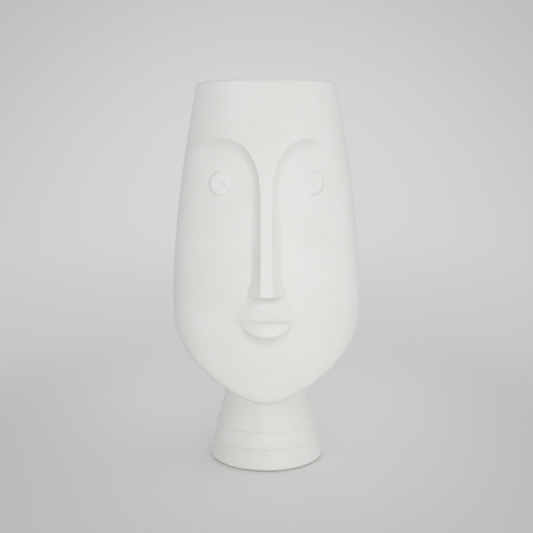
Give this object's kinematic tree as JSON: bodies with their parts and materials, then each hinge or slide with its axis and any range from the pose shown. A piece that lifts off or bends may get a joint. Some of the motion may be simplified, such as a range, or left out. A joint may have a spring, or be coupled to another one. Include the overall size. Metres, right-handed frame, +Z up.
{
  "type": "face vase",
  "caption": "Tall matte ceramic vase shaped as a stylised head with brow arches, a long nose, disc eyes and small lips, on a ringed neck.",
  "frame": {"origin": "centre of the foot, on the surface that the vase stands on", "axes": "+Z up, the face looks along -Y, +X to the vase's own left"},
  "size_m": [0.1396, 0.1186, 0.28],
  "materials": {
    "matte_clay": "matte",
    "bare_clay": "unglazed, slightly rough"
  },
  "bodies": {
    "root": {"head_front": "matte_clay", "head_back": "matte_clay", "nose": "matte_clay", "upper_lip": "matte_clay", "lower_lip": "matte_clay", "left_eye": "matte_clay", "right_eye": "matte_clay", "neck": "matte_clay", "floor_disc": "bare_clay"}
  },
  "joints": []
}
